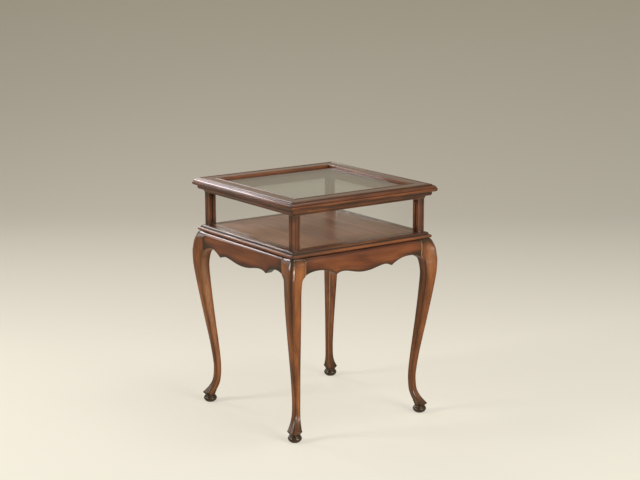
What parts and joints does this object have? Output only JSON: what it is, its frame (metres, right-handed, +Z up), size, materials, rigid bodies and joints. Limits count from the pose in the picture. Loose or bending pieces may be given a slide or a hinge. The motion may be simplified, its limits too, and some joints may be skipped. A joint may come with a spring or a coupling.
{
  "type": "display table",
  "caption": "Square end table with a shallow glazed show case under a hinged glass lid, scalloped aprons and slender cabriole legs on turned pads.",
  "frame": {"origin": "on the floor, under the middle of the table", "axes": "+Z up, -Y towards the front, +X towards the right as seen from the front; the lid is hinged along the back"},
  "size_m": [0.4864, 0.4864, 0.64],
  "materials": {
    "lid_wood": "satin lacquer over dark reddish-brown stain",
    "case_wood": "satin lacquer over reddish-brown stain with dark glaze in the quirks",
    "leg_wood": "satin lacquer over reddish-brown stain",
    "apron_wood": "satin lacquer over reddish-brown stain",
    "floor_veneer": "satin pinkish-brown veneer",
    "hidden_wood": "unfinished",
    "glass": "clear float glass",
    "brass": "satin",
    "steel": "plated",
    "felt": "pressed felt"
  },
  "bodies": {
    "case": {"leg_back_right": "leg_wood", "corner_block_back_right": "hidden_wood", "case_screw_back_right": "steel", "post_back_right": "case_wood", "leg_back_left": "leg_wood", "corner_block_back_left": "hidden_wood", "case_screw_back_left": "steel", "post_back_left": "case_wood", "leg_front_left": "leg_wood", "corner_block_front_left": "hidden_wood", "case_screw_front_left": "steel", "post_front_left": "case_wood", "leg_front_right": "leg_wood", "corner_block_front_right": "hidden_wood", "case_screw_front_right": "steel", "post_front_right": "case_wood", "apron_front": "apron_wood", "base_moulding_front": "case_wood", "side_glass_front": "glass", "top_rail_front": "case_wood", "apron_right": "apron_wood", "base_moulding_right": "case_wood", "side_glass_right": "glass", "top_rail_right": "case_wood", "apron_back": "apron_wood", "base_moulding_back": "case_wood", "side_glass_back": "glass", "top_rail_back": "case_wood", "apron_left": "apron_wood", "base_moulding_left": "case_wood", "side_glass_left": "glass", "top_rail_left": "case_wood", "case_floor": "floor_veneer", "lid_bumper_left": "felt", "lid_bumper_right": "felt", "hinge_left_case_leaf": "brass", "hinge_left_case_screw_1": "brass", "hinge_left_case_screw_2": "brass", "hinge_left_pin": "brass", "hinge_right_case_leaf": "brass", "hinge_right_case_screw_1": "brass", "hinge_right_case_screw_2": "brass", "hinge_right_pin": "brass"},
    "lid": {"lid_glass": "glass", "lid_rail_front": "lid_wood", "glazing_bead_front": "lid_wood", "lid_rail_right": "lid_wood", "glazing_bead_right": "lid_wood", "lid_rail_back": "lid_wood", "glazing_bead_back": "lid_wood", "lid_rail_left": "lid_wood", "glazing_bead_left": "lid_wood", "hinge_left_lid_leaf": "brass", "hinge_left_lid_screw_1": "brass", "hinge_left_lid_screw_2": "brass", "hinge_right_lid_leaf": "brass", "hinge_right_lid_screw_1": "brass", "hinge_right_lid_screw_2": "brass"}
  },
  "joints": [
    {"name": "lid_hinge", "type": "hinge", "parent": "case", "child": "lid", "pos_m": [0, 0.229, 0.61875], "axis": [-1, 0, 0], "range_deg": [0, 95]}
  ]
}
